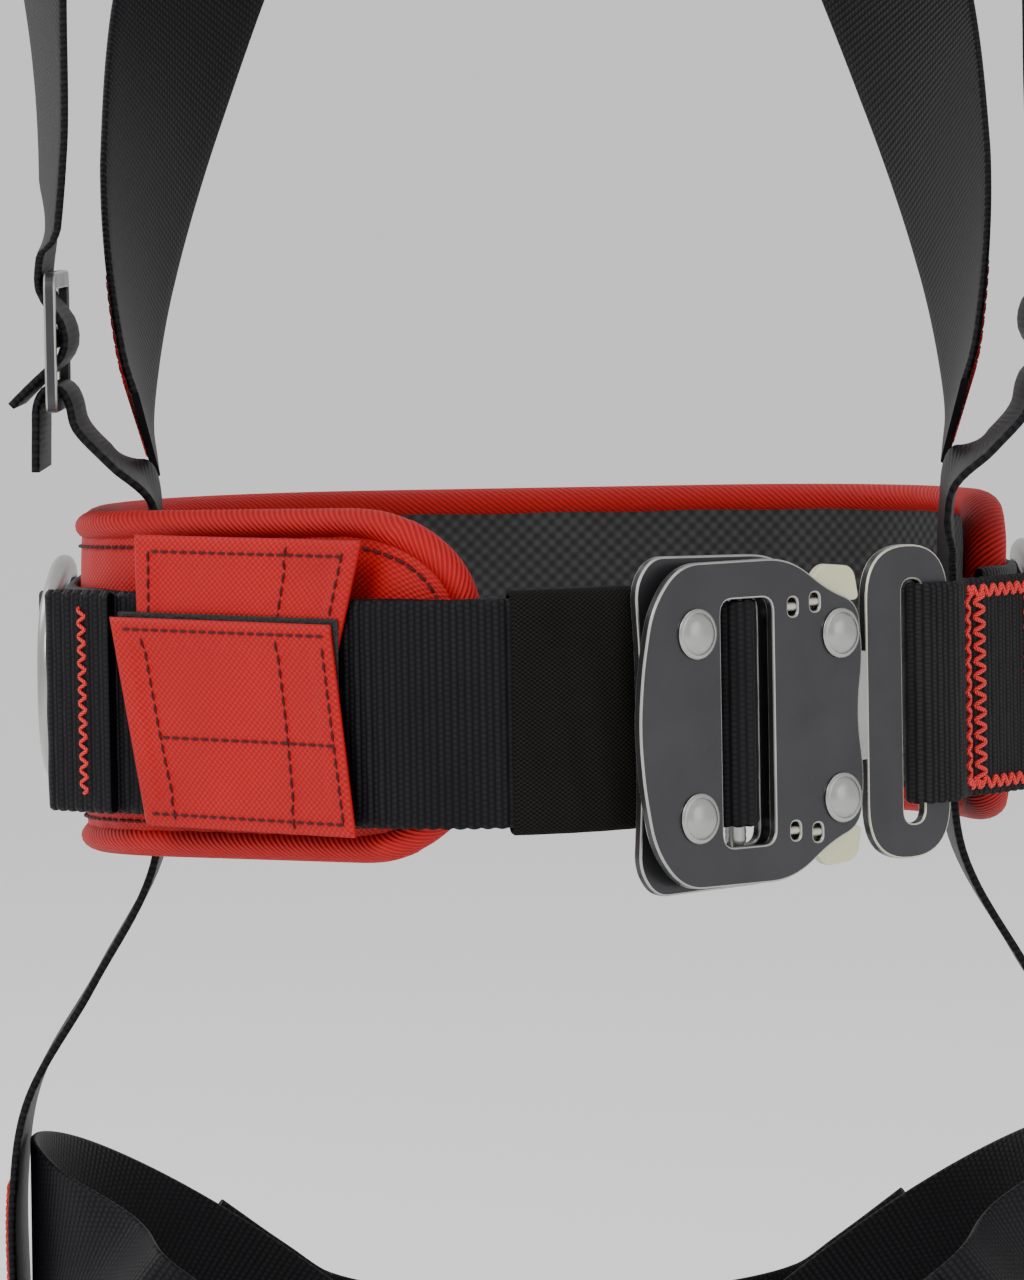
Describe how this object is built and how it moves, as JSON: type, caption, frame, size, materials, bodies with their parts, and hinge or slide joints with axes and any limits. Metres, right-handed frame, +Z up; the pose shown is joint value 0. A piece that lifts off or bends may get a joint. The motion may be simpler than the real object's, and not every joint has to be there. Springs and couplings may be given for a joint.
{
  "type": "full-body safety harness",
  "caption": "Full-body safety harness in its worn shape: padded waist belt with quick-connect buckle, shoulder, chest, leg and seat straps, dorsal and hip D-rings.",
  "frame": {"origin": "middle of the waist at belt mid-height", "axes": "+Z up; the wearer faces -Y, so the wearer's right is -X"},
  "size_m": [0.229, 0.2408, 0.638],
  "materials": {
    "black_webbing": "ribbed polyester webbing, black",
    "red_fabric": "coarse woven nylon, red",
    "elastic_knit": "fine ribbed elastic, matt black",
    "coated_plate": "black coated steel, semi-gloss",
    "satin_steel": "satin steel",
    "zinc_lever": "yellow passivated zinc",
    "moulded_plastic": "moulded black plastic"
  },
  "bodies": {
    "harness": {"belt_webbing": "black_webbing", "shoulder_strap_right": "black_webbing", "shoulder_strap_left": "black_webbing", "side_strap_right": "black_webbing", "side_strap_left": "black_webbing", "chest_strap_right": "black_webbing", "chest_strap_left": "black_webbing", "leg_strap_right": "black_webbing", "leg_strap_left": "black_webbing", "seat_strap": "black_webbing", "hip_right_ring_loop": "black_webbing", "hip_left_ring_loop": "black_webbing", "dorsal_ring_loop": "black_webbing", "waist_pad": "red_fabric", "buckle_front_plate": "coated_plate", "buckle_back_plate": "coated_plate", "torso_adjuster_right": "coated_plate", "torso_adjuster_left": "coated_plate", "chest_buckle_frame": "coated_plate", "leg_right_buckle_frame": "coated_plate", "leg_left_buckle_frame": "coated_plate", "buckle_rivet_1": "satin_steel", "buckle_rivet_2": "satin_steel", "buckle_rivet_3": "satin_steel", "buckle_rivet_4": "satin_steel", "adjuster_bar": "satin_steel", "lever_spring_upper": "satin_steel", "lever_spring_lower": "satin_steel", "dorsal_plate": "moulded_plastic"},
    "lever_up": {"release_lever_upper": "zinc_lever"},
    "lever_low": {"release_lever_lower": "zinc_lever"},
    "tab_end": {"male_tab": "coated_plate", "tab_webbing": "black_webbing"},
    "keeper": {"elastic_keeper": "elastic_knit"},
    "lower_flap": {"flap_lower": "red_fabric"},
    "upper_flap": {"flap_upper": "red_fabric"},
    "right_hip_ring": {"hip_right_d_ring": "satin_steel"},
    "left_hip_ring": {"hip_left_d_ring": "satin_steel"},
    "back_ring": {"dorsal_d_ring": "satin_steel"},
    "chest_link": {"chest_buckle_link": "coated_plate"},
    "right_leg_link": {"leg_right_buckle_link": "coated_plate"},
    "left_leg_link": {"leg_left_buckle_link": "coated_plate"}
  },
  "joints": [
    {"name": "release_upper", "type": "slide", "parent": "harness", "child": "lever_up", "axis": [0, 0, -1], "range_m": [0, 0.002], "stiffness_N_per_m": 400, "springref_m": -0.002, "deforming": ["lever_spring_upper"]},
    {"name": "release_lower", "type": "slide", "parent": "harness", "child": "lever_low", "axis": [0, 0, 1], "range_m": [0, 0.002], "stiffness_N_per_m": 400, "springref_m": -0.002, "deforming": ["lever_spring_lower"]},
    {"name": "tab_withdraw", "type": "slide", "parent": "harness", "child": "tab_end", "axis": [0.7547, 0.6561, 0], "range_m": [0, 0.02]},
    {"name": "keeper_slide", "type": "hinge", "parent": "harness", "child": "keeper", "pos_m": [-0.017, -0.047, 0], "axis": [0, 0, -1], "range_deg": [0, 4]},
    {"name": "flap_lower_open", "type": "hinge", "parent": "harness", "child": "lower_flap", "pos_m": [-0.04019, -0.08687, -0.0246], "axis": [0.7314, -0.682, 0], "range_deg": [0, 110]},
    {"name": "flap_upper_open", "type": "hinge", "parent": "harness", "child": "upper_flap", "pos_m": [-0.04019, -0.08687, 0.0346], "axis": [-0.7314, 0.682, 0], "range_deg": [0, 38.5]},
    {"name": "hip_ring_right_swing", "type": "hinge", "parent": "harness", "child": "right_hip_ring", "pos_m": [-0.1032, 0.047, 0], "axis": [0, 0, -1], "range_deg": [0, 120]},
    {"name": "hip_ring_left_swing", "type": "hinge", "parent": "harness", "child": "left_hip_ring", "pos_m": [0.0998, 0.047, 0], "axis": [0, 0, 1], "range_deg": [0, 120]},
    {"name": "dorsal_ring_swing", "type": "hinge", "parent": "harness", "child": "back_ring", "pos_m": [0, 0.1209, 0.287], "axis": [1, 0, 0], "range_deg": [0, 150]},
    {"name": "chest_link_tilt", "type": "hinge", "parent": "harness", "child": "chest_link", "pos_m": [0.02, -0.1094, 0.248], "axis": [0, 0, 1], "range_deg": [0, 45]},
    {"name": "leg_link_right_tilt", "type": "hinge", "parent": "harness", "child": "right_leg_link", "pos_m": [-0.04215, -0.0634, -0.16719], "axis": [0.6097, 0, 0.7926], "range_deg": [0, 45]},
    {"name": "leg_link_left_tilt", "type": "hinge", "parent": "harness", "child": "left_leg_link", "pos_m": [0.07385, -0.0634, -0.14281], "axis": [-0.6097, 0, 0.7926], "range_deg": [0, 45]}
  ],
  "couplings": [
    {"joint": "flap_upper_open", "follows": "flap_lower_open", "ratio": 0.35}
  ]
}
